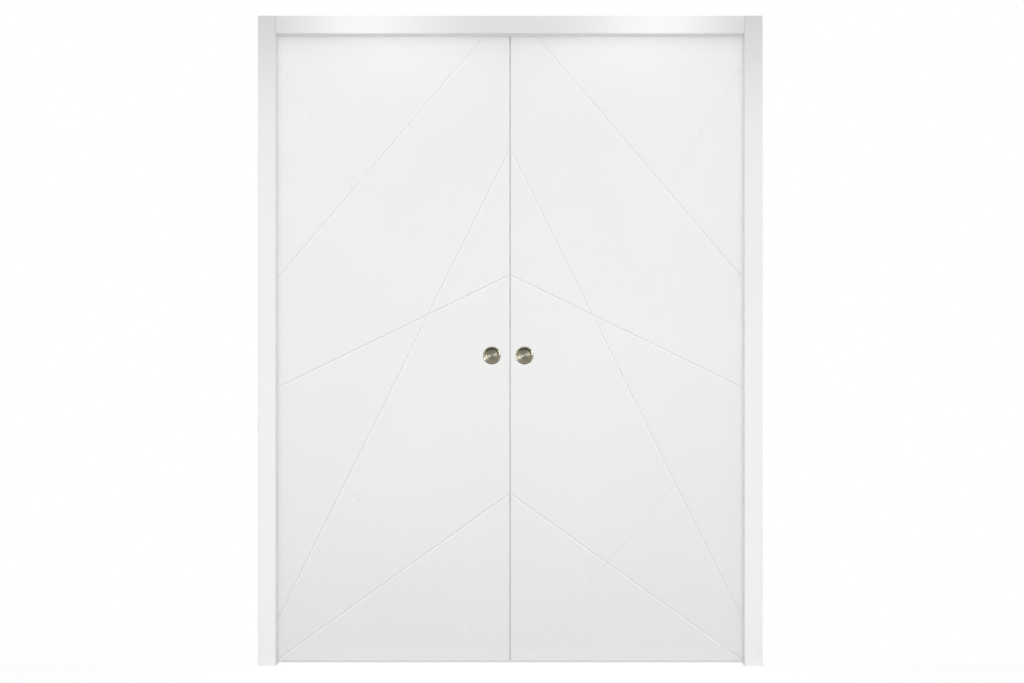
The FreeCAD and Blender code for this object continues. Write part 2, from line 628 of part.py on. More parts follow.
def hanger_bolts(side):
    """Each trolley's pendant bolt, headed under the plate, and the lock nut on top of the plate."""
    pieces = []
    for place in HANGER_PLACES.values():
        x = at_leaf(side, place)
        under_plate = LEAF_TOP - PLATE_THICKNESS
        head = hexagon(x, 0, under_plate - BOLT_HEAD_HEIGHT, under_plate, BOLT_HEAD_CORNER)
        shank = rod(x, 0, under_plate, TROLLEY_TOP - BOLT_TOP_INSET, BOLT_RADIUS)
        nut = hexagon(x, 0, LEAF_TOP, LEAF_TOP + LOCK_NUT_HEIGHT, BOLT_HEAD_CORNER)
        bore = rod(x, 0, LEAF_TOP - CUT_ROOM, LEAF_TOP + LOCK_NUT_HEIGHT + CUT_ROOM, BOLT_RADIUS + BOLT_PLAY)
        pieces += [head.fuse(shank), nut.cut(bore)]
    return Part.makeCompound(pieces)


def trolley(side, hanger):
    """The carriage block between the wheels, with a boss round each axle, bored for axles and bolt."""
    x = at_leaf(side, HANGER_PLACES[hanger])
    body = block(x - TROLLEY_LENGTH / 2, x + TROLLEY_LENGTH / 2, -TROLLEY_FACE, TROLLEY_FACE,
                 TROLLEY_BOTTOM, TROLLEY_TOP)
    body = rounded(body, TROLLEY_EDGE_ROUND, lambda e: runs_along(e, "y"))
    for offset in AXLE_PLACES.values():
        body = body.fuse(axle_rod(x + offset, TROLLEY_BOSS_RADIUS, BOSS_FACE))
        body = body.cut(axle_rod(x + offset, AXLE_RADIUS + AXLE_PLAY, BOSS_FACE + CUT_ROOM))
    return body.cut(rod(x, 0, TROLLEY_BOTTOM - CUT_ROOM, TROLLEY_TOP + CUT_ROOM, BOLT_RADIUS + BOLT_PLAY))


def axle_rod(x, radius, half_length):
    """A cylinder along an axle's line, as long either way."""
    return Part.makeCylinder(radius, 2 * half_length, Vector(x, -half_length, AXLE_LEVEL), Vector(0, 1, 0))


def wheelset(side, hanger, axle):
    """An axle with a nylon wheel pressed on each end and its ends headed over the hubs."""
    x = at_leaf(side, HANGER_PLACES[hanger]) + SIDES[side] * AXLE_PLACES[axle]
    hub, head = WHEEL_OUTER_FACE, WHEEL_OUTER_FACE + AXLE_HEAD_HEIGHT
    pin_outline = [(0, -head), (AXLE_HEAD_RADIUS, -head), (AXLE_HEAD_RADIUS, -hub), (AXLE_RADIUS, -hub),
                   (AXLE_RADIUS, hub), (AXLE_HEAD_RADIUS, hub), (AXLE_HEAD_RADIUS, head), (0, head)]
    pin = turned(pin_outline, Vector(x, 0, AXLE_LEVEL), (0, 1, 0))
    side_radius = WHEEL_RADIUS - WHEEL_EDGE_CHAMFER
    recess = WHEEL_WIDTH - WHEEL_RECESS_DEPTH
    outline = [(AXLE_RADIUS, 0), (side_radius, 0), (WHEEL_RADIUS, WHEEL_EDGE_CHAMFER),
               (WHEEL_RADIUS, WHEEL_WIDTH - WHEEL_EDGE_CHAMFER), (side_radius, WHEEL_WIDTH),
               (WHEEL_RECESS_RADIUS, WHEEL_WIDTH), (WHEEL_RECESS_RADIUS, recess), (WHEEL_HUB_RADIUS, recess),
               (WHEEL_HUB_RADIUS, WHEEL_WIDTH), (AXLE_RADIUS, WHEEL_WIDTH)]
    wheels = [turned(outline, Vector(x, f * WHEEL_INNER_FACE, AXLE_LEVEL), (0, f, 0)) for f in FACES.values()]
    return Part.makeCompound([pin] + wheels)


def frame_nodes():
    """Everything that stays with the wall."""
    nodes = {}
    for face in FACES:
        for side in SIDES:
            nodes[f"casing_{side}_{face}"] = side_casing(side, face)
            nodes[f"jamb_{side}_{face}"] = side_jamb(side, face)
        nodes[f"casing_head_{face}"] = head_casing(face)
        nodes[f"jamb_head_{face}"] = head_jamb(face)
        nodes[f"head_batten_{face}"] = head_batten(face)
    nodes["track_header"] = track_header()
    for side in SIDES:
        nodes[f"track_rail_{side}"] = track_rail(side)
        nodes[f"header_bracket_{side}"] = header_bracket(side)
    nodes["track_screws"] = track_screws()
    nodes["track_stops"] = track_stops()
    nodes["stop_bumpers"] = stop_bumpers()
    nodes["guide_pads"] = guide_pieces(guide_pad)
    nodes["guide_screws"] = guide_pieces(guide_screw)
    return nodes


def leaf_nodes(side):
    """Everything that slides with one leaf."""
    nodes = {}
    for face in FACES:
        nodes[f"{side}_leaf_{face}_skin"] = leaf_skin(side, face)
        nodes[f"{side}_pull_{face}"] = flush_pull(side, face)
    nodes[f"{side}_leaf_lead_stile"] = lead_stile(side)
    nodes[f"{side}_leaf_trail_stile"] = trail_stile(side)
    nodes[f"{side}_leaf_top_rail"] = top_rail(side)
    nodes[f"{side}_leaf_bottom_rail"] = bottom_rail(side)
    nodes[f"{side}_leaf_core"] = leaf_core(side)
    nodes[f"{side}_hanger_plates"] = hanger_plates(side)
    nodes[f"{side}_hanger_screws"] = hanger_screws(side)
    nodes[f"{side}_hanger_bolts"] = hanger_bolts(side)
    for hanger in HANGER_PLACES:
        nodes[f"{side}_trolley_{hanger}"] = trolley(side, hanger)
        for axle in AXLE_PLACES:
            nodes[f"{side}_wheels_{hanger}_{axle}"] = wheelset(side, hanger, axle)
    return nodes


def main():
    """Builds every node and writes one file for each."""
    os.makedirs("parts", exist_ok=True)
    nodes = frame_nodes()
    for side in SIDES:
        nodes.update(leaf_nodes(side))
    for name, shape in nodes.items():
        shape.exportStep(f"parts/{name}.step")
    print(len(nodes), "nodes,", sum(len(shape.Solids) for shape in nodes.values()), "solids")


main()
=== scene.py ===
"""Looks of a double pocket door: a finish for every board and fitting, finer hardware and a white studio.

Metres, +Z up and -Y towards the viewer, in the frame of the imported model. Boards, rails and plates keep
their own meshes and get finishes. Pulls, wheels, bolts and screws are turned afresh and stand in for theirs.
"""

import json
import math
from functools import partial

import bmesh
import bpy
from bpy.props import FloatProperty, FloatVectorProperty, IntProperty, PointerProperty
from bpy.types import Operator, Panel, PropertyGroup
from mathutils import Matrix, Vector

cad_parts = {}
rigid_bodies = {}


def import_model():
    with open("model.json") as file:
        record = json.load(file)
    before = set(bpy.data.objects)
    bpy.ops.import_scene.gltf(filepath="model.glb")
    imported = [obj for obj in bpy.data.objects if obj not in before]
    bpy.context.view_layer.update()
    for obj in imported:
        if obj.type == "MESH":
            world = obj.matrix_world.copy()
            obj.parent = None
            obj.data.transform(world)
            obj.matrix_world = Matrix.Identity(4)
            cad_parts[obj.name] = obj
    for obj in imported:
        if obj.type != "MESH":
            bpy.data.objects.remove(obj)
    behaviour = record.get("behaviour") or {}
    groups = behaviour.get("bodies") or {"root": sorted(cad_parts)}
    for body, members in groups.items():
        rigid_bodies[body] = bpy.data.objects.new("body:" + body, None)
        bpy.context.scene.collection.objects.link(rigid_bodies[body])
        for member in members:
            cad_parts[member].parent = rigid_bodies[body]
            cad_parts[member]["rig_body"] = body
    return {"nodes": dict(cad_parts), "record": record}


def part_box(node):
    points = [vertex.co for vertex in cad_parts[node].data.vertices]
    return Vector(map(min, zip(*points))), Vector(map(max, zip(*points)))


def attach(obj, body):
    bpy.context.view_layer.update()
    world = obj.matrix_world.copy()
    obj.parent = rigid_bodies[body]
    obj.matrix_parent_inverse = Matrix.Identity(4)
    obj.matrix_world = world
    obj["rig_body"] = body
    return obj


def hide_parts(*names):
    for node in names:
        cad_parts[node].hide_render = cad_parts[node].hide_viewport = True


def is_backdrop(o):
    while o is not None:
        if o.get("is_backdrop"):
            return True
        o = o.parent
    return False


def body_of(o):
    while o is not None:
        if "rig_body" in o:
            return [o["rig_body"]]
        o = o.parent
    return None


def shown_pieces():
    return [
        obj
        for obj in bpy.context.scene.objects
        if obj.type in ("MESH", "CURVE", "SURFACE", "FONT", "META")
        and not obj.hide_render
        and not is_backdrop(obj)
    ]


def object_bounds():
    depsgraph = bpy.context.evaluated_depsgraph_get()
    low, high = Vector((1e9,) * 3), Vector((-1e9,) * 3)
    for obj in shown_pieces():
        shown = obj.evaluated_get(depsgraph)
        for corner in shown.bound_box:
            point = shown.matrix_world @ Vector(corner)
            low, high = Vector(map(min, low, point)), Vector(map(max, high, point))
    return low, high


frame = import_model()
CAD_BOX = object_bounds()

bl_info = {
    "name": "Double Pocket Door",
    "version": (1, 0, 0),
    "blender": (4, 5, 0),
    "location": "3D View > Sidebar > Pocket Door",
    "description": "Finishes, hardware and a white studio for a pair of grooved pocket doors",
    "category": "Object",
}

SIDES = {"left": -1, "right": 1}
FACES = {"front": -1, "back": 1}
HANGERS = ("lead", "trail")
AXLES = ("inner", "outer")
HEXAGON_SIDES = 6
# Faces that meet at more than this angle keep a sharp edge, and points no further apart than this are one
SHARP_ANGLE = math.radians(35)
SAME_PLACE = 1e-6
BODY_OF = {node: body for body, nodes in frame["record"]["behaviour"]["bodies"].items() for node in nodes}


def middle(node):
    """The middle of a node's box at rest."""
    low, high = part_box(node)
    return (low + high) / 2


def extent(node):
    """The size of a node's box at rest."""
    low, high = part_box(node)
    return high - low


LEAF_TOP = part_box("left_leaf_front_skin")[1].z
LEAF_FACE = -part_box("left_leaf_front_skin")[0].y
LEAF_MIDDLE = middle("right_leaf_core")
CASING_BACK = -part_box("casing_left_front")[1].y
CASING_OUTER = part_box("casing_right_front")[1]
JAMB_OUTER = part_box("jamb_right_front")[1]


def setting(kind, **limits):
    """A function that makes properties of one kind from a name, a description and a default."""
    def make(name, description, default):
        return kind(name=name, description=description, default=default, **limits)
    return make


# Lengths and places are in metres, angles in radians, powers in watts, and colours are linear
length = setting(FloatProperty, min=0.0, precision=5, unit="LENGTH")
share = setting(FloatProperty, min=0.0, max=1.0, subtype="FACTOR")
angle = setting(FloatProperty, unit="ROTATION", subtype="ANGLE")
focal = setting(FloatProperty, min=1.0, unit="CAMERA")
power = setting(FloatProperty, min=0.0, unit="POWER")
colour = setting(FloatVectorProperty, min=0.0, max=1.0, subtype="COLOR")
place = setting(FloatVectorProperty, subtype="TRANSLATION", unit="LENGTH")
count = setting(IntProperty, min=3)


class LacquerLook(PropertyGroup):
    """Satin white lacquer on the casings, jambs and leaves."""
    tone: colour("Colour", "Colour of the lacquer", (0.87, 0.87, 0.866))
    shade: colour("Shade", "Colour where the lacquer lies a little thinner", (0.855, 0.856, 0.851))
    cloud_size: length("Cloud size", "Size of the slow changes of colour", 0.4)
    gloss_low: share("Least roughness", "Roughness where the lacquer flowed out best", 0.3)
    gloss_high: share("Most roughness", "Roughness where it flowed out least", 0.37)
    gloss_size: length("Gloss size", "Size of the changes of roughness", 0.05)
    peel_size: length("Peel size", "Distance between the dimples that spraying leaves", 0.004)
    peel_depth: length("Peel depth", "Depth of those dimples", 0.000004)
    edge_round: length("Edge round", "Round that the lacquer gives to a sharp edge", 0.0008)
    edge_samples: count("Edge samples", "Rays that look for an edge", 6)


class WoodLook(PropertyGroup):
    """Bare softwood of the header and battens, and the board that fills the leaves."""
    early: colour("Early wood", "Colour of the wide pale part of a ring", (0.69, 0.50, 0.30))
    late: colour("Late wood", "Colour of the narrow dark part of a ring", (0.47, 0.29, 0.13))
    knot: colour("Knot", "Colour of a knot", (0.20, 0.10, 0.045))
    ring_width: length("Ring width", "Distance between two year rings", 0.0042)
    wander: length("Wander", "How far the rings wander from true circles", 0.02)
    wander_size: length("Wander size", "Distance over which they wander", 1 / 14)
    pith_drop: length("Pith drop", "How far the middle of the log lies under the header", 0.055)
    pith_aside: length("Pith aside", "How far it lies behind the header's middle", 0.012)
    fibre_size: length("Fibre size", "Thickness of the fibres on a planed face", 0.0012)
    fibre_depth: length("Fibre depth", "Depth of those fibres", 0.00006)
    roughness: share("Roughness", "Roughness of planed wood", 0.62)
    chip_pale: colour("Pale chip", "Colour of the palest chips in the core", (0.62, 0.48, 0.30))
    chip_dark: colour("Dark chip", "Colour of the darkest chips in the core", (0.36, 0.25, 0.14))
    chip_size: length("Chip size", "Length of a chip in the core", 0.006)


class FittingLook(PropertyGroup):
    """Metals, nylon and rubber of the hardware."""
    aluminium_pale: colour("Aluminium, pale", "Paler tint of the track's drawn lines", (0.74, 0.74, 0.75))
    aluminium_dull: colour("Aluminium, dull", "Duller tint between those lines", (0.62, 0.625, 0.64))
    zinc_blue: colour("Zinc, cool", "Cooler tint of the zinc plate", (0.58, 0.61, 0.66))
    zinc_warm: colour("Zinc, warm", "Warmer tint of the zinc plate", (0.66, 0.64, 0.57))
    nickel_pale: colour("Nickel, pale", "Paler tint of the spun nickel", (0.43, 0.415, 0.33))
    nickel_dark: colour("Nickel, dark", "Darker tint of the spun nickel", (0.36, 0.345, 0.26))
    nickel_stretch: share("Nickel stretch", "How far the spun lines stretch a highlight", 0.85)
    spun_pitch: length("Spun pitch", "Distance between two spun lines", 0.00035)
    spun_depth: length("Spun depth", "Depth of a spun line", 0.000004)
    nylon_pale: colour("Nylon, pale", "Paler tint of the wheels and guide pads", (0.79, 0.785, 0.74))
    nylon_cream: colour("Nylon, cream", "Yellower tint of the same nylon", (0.74, 0.725, 0.65))
    rubber: colour("Rubber", "Colour of the bumpers", (0.03, 0.03, 0.031))
    rubber_bloom: colour("Rubber, bloom", "Colour where the bumpers have bloomed", (0.066, 0.066, 0.0682))


class PullShape(PropertyGroup):
    """A turned flush pull."""
    rim_width: length("Rim width", "Width of the rim that lies on the leaf", 0.0065)
    rim_edge: length("Rim edge", "Height of the rim's outer and inner edge over the leaf", 0.0002)
    cup_depth: length("Cup depth", "Depth of the cup under the leaf's face", 0.009)
    cup_taper: length("Cup taper", "How much narrower the cup's floor is than its mouth", 0.0015)
    floor_round: length("Floor round", "Round between the cup's wall and its floor", 0.0025)
    wall: length("Wall", "Thickness of the cup", 0.0015)
    edge_round: length("Edge round", "Round on the turned edges", 0.0003)
    segments: count("Segments", "Steps round the pull", 96)
    arc_steps: count("Arc steps", "Steps along each arc of the outline", 10)


class WheelShape(PropertyGroup):
    """A pair of nylon wheels on an axle."""
    width: length("Width", "Width of a wheel", 0.0065)
    crown_round: length("Crown round", "Round on both edges of the tread", 0.0008)
    hub_radius: length("Hub radius", "Radius of the hub", 0.0045)
    recess_radius: length("Recess radius", "Radius of the recess round the hub", 0.0085)
    recess_depth: length("Recess depth", "Depth of the recess", 0.0012)
    axle_radius: length("Axle radius", "Radius of the axle", 0.0025)
    head_radius: length("Head radius", "Radius of the axle's headed ends", 0.0038)
    head_height: length("Head height", "Height of the axle's headed ends", 0.0009)
    segments: count("Segments", "Steps round a wheel", 48)
    arc_steps: count("Arc steps", "Steps along each round edge", 4)


class BoltShape(PropertyGroup):
    """A pendant bolt with its lock nut."""
    radius: length("Radius", "Radius over the thread", 0.004)
    pitch: length("Pitch", "Pitch of the thread", 0.00125)
    thread_depth: length("Thread depth", "Depth of the thread", 0.0007)
    nut_height: length("Nut height", "Height of the lock nut", 0.004)
    chamfer: angle("Chamfer", "Slope of the chamfer on head and nut", math.radians(30))
    side_steps: count("Side steps", "Steps along each flat", 6)
    thread_steps: count("Thread steps", "Rows in one turn of the thread", 6)


class ScrewShape(PropertyGroup):
    """Wood screws with a cross recess."""
    pitch: length("Pitch", "Pitch of the thread", 0.0018)
    thread_share: share("Thread depth", "Depth of the thread as a share of the radius", 0.3)
    recess_reach: share("Recess reach", "Length of the recess's arms in radii of the head", 0.6)
    recess_arm: share("Recess arm", "Half width of the arms in radii of the head", 0.14)
    recess_floor: share("Recess floor", "Size of the recess's floor as a share of its mouth", 0.45)
    recess_depth: share("Recess depth", "Depth of the recess in radii of the head", 0.4)
    crown_share: share("Crown", "Round of a pan head as a share of its height", 0.45)
    crown_steps: count("Crown steps", "Steps along that round", 4)
    plate_radius: length("Plate screw radius", "Radius of a hanger plate's screws", 0.002)
    plate_length: length("Plate screw length", "Length of a hanger plate's screws", 0.030)
    guide_radius: length("Guide screw radius", "Radius of a guide pad's screws", 0.00175)
    guide_length: length("Guide screw length", "Length of a guide pad's screws", 0.022)
    guide_play: length("Guide play", "Room between a guide pad and the leaf", 0.001)
    track_radius: length("Track screw radius", "Radius of the track's screws", 0.00225)
    track_head: length("Track screw head", "Height of the track screws' pan heads", 0.0024)
    track_margin: length("Track screw margin", "Distance from the rail's end to its first screw", 0.025)
    track_count: count("Track screw count", "Screws in each rail", 5)
    segments: count("Segments", "Steps round a screw", 24)
    thread_steps: count("Thread steps", "Rows in one turn of the thread", 4)


class StudioLook(PropertyGroup):
    """Floor, wall, lamps and camera."""
    camera: place("Camera", "Place of the camera", (0.0058, -4.790, 1.039))
    lens: focal("Lens", "Focal length in millimetres", 51.8)
    floor: colour("Floor", "Colour of the floor", (0.4, 0.4, 0.4))
    floor_lift: share("Floor lift", "Light added to the floor where it is seen", 0.61)
    wall: colour("Wall", "Colour in which the wall scatters light", (0.8, 0.8, 0.8))
    floor_size: length("Floor size", "Half the width of the floor", 7.0)
    wall_size: length("Wall size", "Half the width of the wall", 5.0)
    wall_rise: length("Wall rise", "How far the wall rises over the header", 0.11)
    ambient: share("Ambient", "Strength of the light from all round", 0.8)
    key: place("Key", "Place of the right leaf's lamp, mirrored for the left", (6.66, -4.22, 5.95))
    key_size: length("Key size", "Width of a leaf's lamp", 1.2)
    key_power: power("Key power", "Power of a leaf's lamp", 215.0)
    fill: place("Fill", "Place of the lamp in front of both leaves", (0.0, -3.0, 0.95))
    fill_size: length("Fill size", "Width of that lamp", 1.4)
    fill_power: power("Fill power", "Power of that lamp", 21.5)
    pool: place("Pool lamp", "Place of the right leaf's top lamp, mirrored for the left", (0.37, -0.2, 2.03))
    pool_width: length("Pool lamp width", "Width of a leaf's top lamp", 0.4)
    pool_height: length("Pool lamp height", "Height of a leaf's top lamp", 0.05)
    pool_power: power("Pool lamp power", "Power of a leaf's top lamp", 0.05)
    top: place("Top lamp", "Place of the lamp over the floor", (0.0, -2.6, 4.0))
    top_size: length("Top lamp size", "Width of that lamp", 2.5)
    top_power: power("Top lamp power", "Power of that lamp", 90.0)
    head: place("Head lamp", "Place of the head casing's right lamp, also mirrored", (0.53, -0.45, 2.05))
    head_aim: length("Head lamp aim", "Distance from the middle at which that lamp is aimed", 0.25)
    head_size: length("Head lamp size", "Width of a head casing's lamp", 0.12)
    head_power: power("Head lamp power", "Power of a head casing's lamp", 0.68)
    side_gap: length("Side lamp gap", "Distance of a side casing's lamp from its face", 0.25)
    side_low: length("Side lamp depth", "How far a side casing's lamp reaches below the floor", 0.5)
    side_drop: length("Side lamp drop", "How far below the casing's top its lamp ends", 0.115)
    side_lean: length("Side lamp lean", "How far over its middle a side casing's lamp is aimed", 0.008)
    side_width: length("Side lamp width", "Width of a side casing's lamp", 0.06)
    side_power: power("Side lamp power", "Power of a side casing's lamp", 1.42)
    strip: place("Strip", "Place of the lamp that the front pulls mirror", (2.2, -4.2, 1.75))
    strip_width: length("Strip width", "Width of the pulls' lamp", 0.4)
    strip_height: length("Strip height", "Height of the pulls' lamp", 1.3)
    strip_power: power("Strip power", "Power of the pulls' lamp", 80.0)
    grey: colour("Grey card", "Colour of the upright card that metal mirrors", (0.32, 0.32, 0.32))
    black: colour("Black card", "Colour of the card that lies on the floor", (0.01, 0.01, 0.01))
    card_lift: length("Card lift", "Height of the lying card over the floor", 0.001)
    card_gap: length("Card gap", "Distance of the lying card from the door", 0.15)
    card_depth: length("Card depth", "Distance from the door to the lying card's far edge", 2.4)
    card_reach: length("Card reach", "Distance of the upright card from the door", 5.7)
    card_width: length("Card width", "Width of the cards", 2.8)
    card_height: length("Card height", "Height of the upright card", 2.6)


class DoorSettings(PropertyGroup):
    """All settings of the door."""
    lacquer: PointerProperty(type=LacquerLook)
    wood: PointerProperty(type=WoodLook)
    fitting: PointerProperty(type=FittingLook)
    pull: PointerProperty(type=PullShape)
    wheel: PointerProperty(type=WheelShape)
    bolt: PointerProperty(type=BoltShape)
    screw: PointerProperty(type=ScrewShape)
    studio: PointerProperty(type=StudioLook)


class NodeBench:
    """A new material's or world's node tree, with short ways to add nodes and join them."""

    def __init__(self, owner):
        owner.use_nodes = True
        self.tree = owner.node_tree
        self.tree.nodes.clear()

    def add(self, kind, inputs=None, **settings):
        """Adds a shader node. Each input is a value or another node's output."""
        node = self.tree.nodes.new(f"ShaderNode{kind}")
        for name, value in settings.items():
            setattr(node, name, value)
        for name, value in (inputs or {}).items():
            if isinstance(value, bpy.types.NodeSocket):
                self.tree.links.new(value, node.inputs[name])
            else:
                node.inputs[name].default_value = value
        return node

    def compute(self, kind, operation, *values):
        """The outcome of an operation on numbers (Math) or points (VectorMath)."""
        return self.add(kind, dict(enumerate(values)), operation=operation).outputs[0]

    def coordinates(self, stretch=(1.0, 1.0, 1.0), shift=(0.0, 0.0, 0.0)):
        """Places on the object in metres, moved by shift and then stretched."""
        source = self.add("TexCoord").outputs["Object"]
        moved = self.compute("VectorMath", "ADD", source, shift)
        return self.compute("VectorMath", "MULTIPLY", moved, stretch)

    def noise(self, size, detail=2.0, where=None, output="Fac"):
        """Soft noise with lumps of that size."""
        inputs = {"Vector": where or self.coordinates(), "Scale": 1.0 / size, "Detail": detail}
        return self.add("TexNoise", inputs).outputs[output]

    def ramp(self, factor, *stops):
        """Colours along a factor, as (position, colour) stops."""
        node = self.add("ValToRGB", {"Fac": factor})
        while len(node.color_ramp.elements) < len(stops):
            node.color_ramp.elements.new(1.0)
        for element, (position, tone) in zip(node.color_ramp.elements, stops):
            element.position = position
            element.color = (*tone, 1.0)
        return node.outputs["Color"]

    def tint(self, factor, first, last, margin=0.35):
        """Two colours that blend along a factor, but for a margin at either end where one is alone."""
        return self.ramp(factor, (margin, first), (1.0 - margin, last))

    def spread(self, factor, low, high):
        """The middle of a factor spread from low to high."""
        inputs = {"Value": factor, "From Min": 0.3, "From Max": 0.7, "To Min": low, "To Max": high}
        return self.add("MapRange", inputs).outputs["Result"]

    def rings(self, where, pitch, axis, profile="SIN", **inputs):
        """Rings round an axis, a pitch apart."""
        # What the wave texture runs through at scale 1
        radians_per_metre = 20.0
        inputs |= {"Vector": where, "Scale": math.tau / radians_per_metre / pitch}
        return self.add("TexWave", inputs, wave_type="RINGS", rings_direction=axis,
                        wave_profile=profile).outputs["Fac"]

    def cells(self, where, size=1.0):
        """Outputs of scattered cells of that size, each with its distance and its own colour."""
        return self.add("TexVoronoi", {"Vector": where, "Scale": 1.0 / size}).outputs

    def matt(self, tone):
        """A shader that scatters light evenly."""
        return self.add("BsdfDiffuse", {"Color": (*tone, 1.0)}).outputs["BSDF"]

    def bump(self, height, depth, normal=None):
        """A normal bent by a height of that depth."""
        inputs = {"Height": height, "Distance": depth}
        if normal:
            inputs["Normal"] = normal
        return self.add("Bump", inputs).outputs["Normal"]

    def surface(self, **inputs):
        """Ends the tree in a principled surface. Underscores in the names stand for spaces."""
        named = {name.replace("_", " "): value for name, value in inputs.items()}
        self.end(self.add("BsdfPrincipled", named).outputs["BSDF"])

    def grained(self, tone, grain, low, high, depth, **inputs):
        """Ends the tree in a surface whose roughness, from low to high, and bumps follow a grain."""
        self.surface(Base_Color=tone, Roughness=self.spread(grain, low, high),
                     Normal=self.bump(grain, depth), **inputs)

    def end(self, shader, kind="OutputMaterial"):
        """Ends the tree in that shader."""
        self.add(kind, {"Surface": shader})

    def seen(self):
        """One for rays from the camera and for those that mirror or pass, nothing for scattered light."""
        rays = self.add("LightPath").outputs
        total = rays["Is Camera Ray"]
        for kind in ("Is Glossy Ray", "Is Transmission Ray"):
            total = self.compute("Math", "MAXIMUM", total, rays[kind])
        return total


def white_lacquer(bench, settings):
    """Sprayed satin lacquer with a faint orange peel and soft edges."""
    look = settings.lacquer
    tone = bench.tint(bench.noise(look.cloud_size), look.shade, look.tone, margin=0.3)
    roughness = bench.spread(bench.noise(look.gloss_size, detail=3.0), look.gloss_low, look.gloss_high)
    edges = bench.add("Bevel", {"Radius": look.edge_round}, samples=look.edge_samples)
    peel = bench.bump(bench.noise(look.peel_size, detail=1.0), look.peel_depth, edges.outputs["Normal"])
    bench.surface(Base_Color=tone, Roughness=roughness, Normal=peel, IOR=1.5)


def raw_pine(bench, settings):
    """Planed softwood: year rings cut along the grain, fibres and a few knots."""
    look = settings.wood
    pith = (0.0, -look.pith_aside, look.pith_drop - middle("track_header").z)
    grain = bench.coordinates(stretch=(0.04, 1.0, 1.0), shift=pith)
    wander = bench.noise(look.wander_size, where=grain, output="Color")
    reach = (look.wander, look.wander, look.wander)
    bent = bench.compute("VectorMath", "MULTIPLY_ADD", wander, reach, grain)
    rings = bench.rings(bent, look.ring_width, "X", "SAW")
    wood = bench.ramp(rings, (0.0, look.early), (0.62, look.early), (0.93, look.late), (1.0, look.early))
    knots = bench.cells(bench.coordinates(stretch=(1.7, 9.0, 9.0)))["Distance"]
    knotted = bench.ramp(knots, (0.05, look.knot), (0.13, (1.0, 1.0, 1.0)))
    # In a mix of colours, input 0 is the factor, inputs 6 and 7 are the colours and output 2 is the outcome
    tone = bench.add("Mix", {0: 1.0, 6: wood, 7: knotted}, data_type="RGBA", blend_type="MULTIPLY")
    fibre = bench.noise(look.fibre_size, where=bench.coordinates(stretch=(0.03, 1.0, 1.0)))
    bench.surface(Base_Color=tone.outputs[2], Roughness=look.roughness,
                  Normal=bench.bump(fibre, look.fibre_depth))


def particle_board(bench, settings):
    """Pressed chips."""
    look = settings.wood
    chips = bench.cells(bench.coordinates(stretch=(0.5, 1.0, 1.0)), look.chip_size)
    tone = bench.tint(chips["Color"], look.chip_dark, look.chip_pale, margin=0.1)
    bench.surface(Base_Color=tone, Roughness=0.85, Normal=bench.bump(chips["Distance"], depth=0.0004))


def extruded_aluminium(bench, settings):
    """Mill finish with the drawing lines of the die."""
    look = settings.fitting
    lines = bench.noise(size=0.0008, detail=3.0, where=bench.coordinates(stretch=(0.004, 1.0, 1.0)))
    tone = bench.tint(lines, look.aluminium_dull, look.aluminium_pale)
    bench.grained(tone, lines, low=0.3, high=0.42, depth=0.00003, Metallic=1.0)


def zinc_steel(bench, settings):
    """Bright zinc plate, tinted unevenly by its passivation."""
    look = settings.fitting
    tone = bench.tint(bench.noise(size=0.018), look.zinc_blue, look.zinc_warm)
    grain = bench.noise(size=0.0011, detail=3.0)
    bench.grained(tone, grain, low=0.29, high=0.42, depth=0.00002, Metallic=1.0)


def satin_nickel(bench, settings):
    """Spun nickel: fine lines round the pull, which stretch a highlight outwards from its middle."""
    look = settings.fitting
    lines = bench.rings(bench.coordinates(), look.spun_pitch, "Z", Distortion=0.6, Detail=1.0)
    tone = bench.tint(bench.noise(size=0.012), look.nickel_dark, look.nickel_pale)
    turned = bench.add("Tangent", direction_type="RADIAL", axis="Z").outputs["Tangent"]
    bench.grained(tone, lines, low=0.3, high=0.36, depth=look.spun_depth, Metallic=1.0, Tangent=turned,
                  Anisotropic=look.nickel_stretch, Anisotropic_Rotation=0.25)


def polished_nickel(bench, settings):
    """The burnished rim of a pull."""
    look = settings.fitting
    haze = bench.noise(size=0.004)
    tone = bench.tint(haze, look.nickel_dark, look.nickel_pale)
    bench.surface(Base_Color=tone, Metallic=1.0, Roughness=bench.spread(haze, low=0.14, high=0.22))


def white_nylon(bench, settings):
    """Natural moulded nylon, a little translucent."""
    look = settings.fitting
    tone = bench.tint(bench.noise(size=0.009), look.nylon_cream, look.nylon_pale)
    bench.grained(tone, bench.noise(size=0.0015), low=0.38, high=0.5, depth=0.00002, Subsurface_Weight=0.2,
                  Subsurface_Radius=(1.0, 0.9, 0.75), Subsurface_Scale=0.0015)


def black_rubber(bench, settings):
    """Matt moulded rubber with a bloom."""
    look = settings.fitting
    tone = bench.ramp(bench.noise(size=0.004), (0.4, look.rubber), (0.8, look.rubber_bloom))
    bench.grained(tone, bench.noise(size=0.0008), low=0.65, high=0.8, depth=0.00004)


def studio_floor(bench, settings):
    """A pale floor that takes shadows and is lifted to white where it is seen."""
    look = settings.studio
    lift = bench.compute("Math", "MULTIPLY", bench.seen(), look.floor_lift)
    glow = bench.add("Emission", {"Strength": lift}).outputs["Emission"]
    bench.end(bench.add("AddShader", {0: bench.matt(look.floor), 1: glow}).outputs["Shader"])


def studio_wall(bench, settings):
    """A wall that scatters light as paint does and is white where it is seen."""
    matt = bench.matt(settings.studio.wall)
    glow = bench.add("Emission").outputs["Emission"]
    bench.end(bench.add("MixShader", {0: bench.seen(), 1: matt, 2: glow}).outputs["Shader"])


def grey_card(bench, settings):
    """A grey card that only mirrors show."""
    bench.end(bench.matt(settings.studio.grey))


def black_card(bench, settings):
    """A black card that only mirrors show."""
    bench.end(bench.matt(settings.studio.black))


